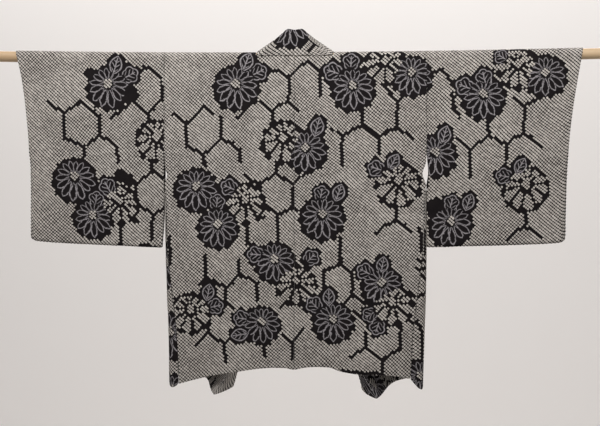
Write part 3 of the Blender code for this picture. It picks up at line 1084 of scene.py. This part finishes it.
def kanoko_silk():
    """Tie-dyed silk crepe: a light square with a dark heart for every tied dot."""
    finish = Finish("kanoko_silk", Roughness=0.75, Specular_IOR_Level=0.06)
    dotted, tone = finish.attribute("dotted"), finish.attribute("tone")
    figure = finish.attribute("figure")
    a, b = finish.uv("dots")
    wander = (finish.noise(260.0, 1.0) - 0.5) * 0.20
    patches = finish.noise(9.0, 1.0).step(0.38, 0.62)
    a = abs(a.by("FRACT") - 0.5 + wander)
    b = abs(b.by("FRACT") - 0.5 - wander)
    half_wide, half_tall, corners = 0.385, 0.335, 3.0
    size = tone * 0.10 + 0.95
    square = (a / (size * (patches * 0.07 + half_wide))) ** corners
    square = square + (b / (size * half_tall)) ** corners
    heart = (a * a + b * b).step(0.003, 0.012)
    x, y = finish.uv("motif")
    sway = (finish.noise(130.0, 1.0) - 0.5) * 0.09
    x, y = x + sway, y - sway
    reach = (x * x + y * y).by("SQRT")
    angle = y.by("ARCTAN2", x)
    is_open, is_leaf, is_blade = (
        abs(figure - kind).step(0.5, 0.4) for kind in (OPEN, LEAF, BLADE))
    dot = square.step(1.35, 0.75) * dotted
    lines = open_petals(reach, angle) * is_open + lobed_leaf(x, y, reach, angle) * is_leaf
    lines = lines + pointed_leaf(x, y) * is_blade
    lines = lines * (dotted * -1.0 + 1.0) * (finish.noise(330.0, 2.0).step(0.25, 0.60) * 0.7 + 0.3)
    mottle = finish.noise(38.0, 3.0)
    ground = finish.mix(mottle, DYE_BLACK, DYE_WORN)
    light = finish.mix(tone * 0.6 + mottle * 0.4, DOT_SHADE, DOT_LIGHT)
    light = finish.mix(heart, DYE_WORN, light)
    drawn = finish.mix(lines, ground, STITCH_GREY)
    finish.colour(finish.mix(dot, drawn, light))
    crepe = finish.noise(900.0, 2.0)
    finish.bump(crepe + dot * 0.8, 0.5, 0.3 * MM)
    return finish.material


def planed_wood():
    """Pale planed softwood, its grain along the rod."""
    finish = Finish("pale_wood", Roughness=0.55)
    grain = finish.noise(42.0, 4.0, (0.035, 1.0, 1.0))
    streak = finish.noise(9.0, 2.0, (0.06, 1.0, 1.0))
    tone = grain.step(0.35, 0.70) * 0.55 + streak * 0.45
    finish.colour(finish.mix(tone, (0.42, 0.28, 0.155), (0.66, 0.49, 0.31)))
    finish.bump(grain, 0.25, 0.2 * MM)
    return finish.material


# ---------------------------- the pieces

silk = kanoko_silk()
CLEAR_OF_SHOULDER = 0.065   # guessed flowers of the fronts keep this far from it
CLEAR_OF_HEM = 0.12
CLEAR_OF_CENTRE = 0.04
PAST_CENTRE = 0.07          # how far past the centre seam a back's flower may have its heart


def body(side, word):
    """A body length; its front repeats the other half's chart."""
    back, fences = flat_chart(BACK_CHART)
    front, front_fences = flat_chart(BACK_CHART, 1, -1)
    figures = [row for row in back if side * row[0] > -PAST_CENTRE]
    figures += flat_chart(FRONT_CORNERS[side], 1)[0]
    figures += [row for row in front if side * row[0] > CLEAR_OF_CENTRE
                and CLEAR_OF_SHOULDER < row[1] < FRONT_LENGTH - CLEAR_OF_HEM]
    low, high = sorted((side * 0.0, side * SHOULDER))
    piece = make_cloth(
        f"body_silk_{word}", (low, -BACK_LENGTH), (high, FRONT_LENGTH),
        partial(trim_body, side), partial(hang_body, side), figures, fences + front_fences)
    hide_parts(f"body_{word}")
    return piece


def sleeve(side, word):
    """A sleeve; its front repeats its back, but for the plain grounds."""
    figures, fences = flat_chart(SLEEVE_CHARTS[side])
    front, front_fences = flat_chart(SLEEVE_CHARTS[side], 1)
    figures += [row for row in front if row[1] > CLEAR_OF_SHOULDER and row[2] != PLAIN]
    low, high = sorted((side * SHOULDER, side * SLEEVE_REACH))
    piece = make_cloth(
        f"sleeve_silk_{word}", (low, -SLEEVE_HALF_ROUND), (high, SLEEVE_HALF_ROUND),
        partial(trim_sleeve, side), partial(hang_sleeve, side), figures, fences + front_fences)
    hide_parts(f"sleeve_{word}")
    return piece


def gusset(side, word):
    """A side gusset, from under the arm to the hem."""
    piece = make_cloth(
        f"gusset_silk_{word}", GUSSET_LOW, GUSSET_HIGH, partial(trim_gusset, side),
        partial(hang_gusset, side), *flat_chart(GUSSET_CHARTS[side], rise=0.0))
    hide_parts(f"gusset_{word}")
    return piece


def collar():
    """The collar: one double band from hem to hem."""
    piece = make_cloth(
        "collar_silk", (-COLLAR_REACH, 0.0), (COLLAR_REACH, BAND_WIDTH), trim_collar,
        hang_collar, *flat_chart(COLLAR_CHART, rise=0.0), BAND_SILK, BAND_SILK / 2)
    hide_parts("collar")
    return piece


def along_and_round(face):
    """A straight rod's faces in order: a millimetre along counts as a radian round."""
    x, y, z = face.calc_center_median()
    return x / MM + math.atan2(y, z)


def rod():
    """The hanging rod: round, its sawn ends a little worn, bowed by the load."""
    bm = bmesh.new()
    bmesh.ops.create_cone(
        bm, cap_ends=True, segments=ROD_FACES, radius1=ROD_RADIUS, radius2=ROD_RADIUS,
        depth=ROD_LENGTH, matrix=Matrix.Rotation(math.pi / 2, 4, "Y"))
    rims = [edge for edge in bm.edges if edge.calc_length() < ROD_RADIUS]
    bmesh.ops.bevel(bm, geom=rims, offset=ROD_WEAR, segments=3, profile=0.5,
                    affect="EDGES", material=-1)
    lengthwise = [edge for edge in bm.edges if edge.calc_length() > ROD_LENGTH / 2]
    bmesh.ops.subdivide_edges(bm, edges=lengthwise, cuts=ROD_STEPS - 1)
    bm.faces.sort(key=along_and_round)       # the cuts leave them in any order
    for vert in bm.verts:
        vert.co.z += bow(vert.co.x)
    for face in bm.faces:
        face.smooth = len(face.verts) == 4
    piece = make_piece("hanging_rod", bm, planed_wood())
    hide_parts("rod")
    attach(piece, "root")
    return piece


rod()
cloth = [collar()]
for side, word in ((-1, "left"), (1, "right")):
    cloth += [body(side, word), sleeve(side, word), gusset(side, word)]
for piece in cloth:
    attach(piece, "root")

# ---------------------------- floor, light, camera

FLOOR_DROP = -3.20
FLOOR_PAPER = (0.66, 0.645, 0.63)
WALL_PAPER = (0.94, 0.915, 0.90)


def studio_sheet(name, half, turn, place, colour):
    """A flat sheet of pale paper: the floor, or the wall far behind the jacket."""
    bm = bmesh.new()
    bmesh.ops.create_grid(bm, x_segments=1, y_segments=1, size=half)
    bmesh.ops.rotate(bm, verts=bm.verts, cent=(0, 0, 0), matrix=Matrix.Rotation(turn, 3, "X"))
    bmesh.ops.translate(bm, verts=bm.verts, vec=place)
    finish = Finish(f"{name}_paper", Base_Color=(*colour, 1.0), Roughness=0.9)
    piece = make_piece(f"studio_{name}", bm, finish.material)


def soft_light(name, place, aim, size, power, colour=(1.0, 0.985, 0.97), spread=180):
    """A large rectangle of soft light, unseen by the camera."""
    data = bpy.data.lights.new(name, "AREA")
    data.spread = math.radians(spread)
    data.shape = "RECTANGLE"
    data.size, data.size_y = size
    data.energy = power
    data.color = colour
    light = bpy.data.objects.new(name, data)
    light.location = place
    light.visible_camera = False
    light.rotation_euler = (Vector(aim) - Vector(place)).to_track_quat("-Z", "Y").to_euler()
    bpy.context.scene.collection.objects.link(light)


def camera():
    """Straight on to the jacket's back, from a little to the right of its centre."""
    place = (0.206, -3.0, -0.3408)
    yaw, pitch, roll = (math.radians(degrees) for degrees in (-3.70, -0.34, 0.14))
    focal_px, width_px = 1295.6, 600
    data = bpy.data.cameras.new("view")
    data.sensor_width = 36.0
    data.lens = focal_px / width_px * data.sensor_width
    view = bpy.data.objects.new("view", data)
    view.matrix_world = (
        Matrix.Translation(place) @ Matrix.Rotation(-yaw, 4, "Z")
        @ Matrix.Rotation(math.pi / 2 + pitch, 4, "X") @ Matrix.Rotation(roll, 4, "Z"))
    bpy.context.scene.collection.objects.link(view)
    bpy.context.scene.camera = view


def sky(colour, strength):
    """Even pale light from all round."""
    world = bpy.data.worlds.new("studio")
    world.use_nodes = True
    back = world.node_tree.nodes["Background"]
    back.inputs["Color"].default_value = (*colour, 1.0)
    back.inputs["Strength"].default_value = strength
    bpy.context.scene.world = world


studio_sheet("floor", 30.0, 0.0, (0, 0, FLOOR_DROP), FLOOR_PAPER)
studio_sheet("wall", 14.0, math.pi / 2, (0, 8.0, 6.0), WALL_PAPER)
soft_light("key", (-0.25, -1.6, 1.5), (-0.05, 0, 0.25), (2.6, 1.0), 17.8, (1.0, 0.985, 0.965), 80)
soft_light("ceiling", (-0.2, 5.6, 4.4), (-0.2, 5.61, 0), (9.0, 4.4), 385)
soft_light("behind", (0.4, 3.6, 2.6), (0, 0, -0.4), (3.0, 1.6), 95)
sky((0.93, 0.90, 0.885), 0.38)
camera()
bpy.context.scene.view_settings.view_transform = "Standard"
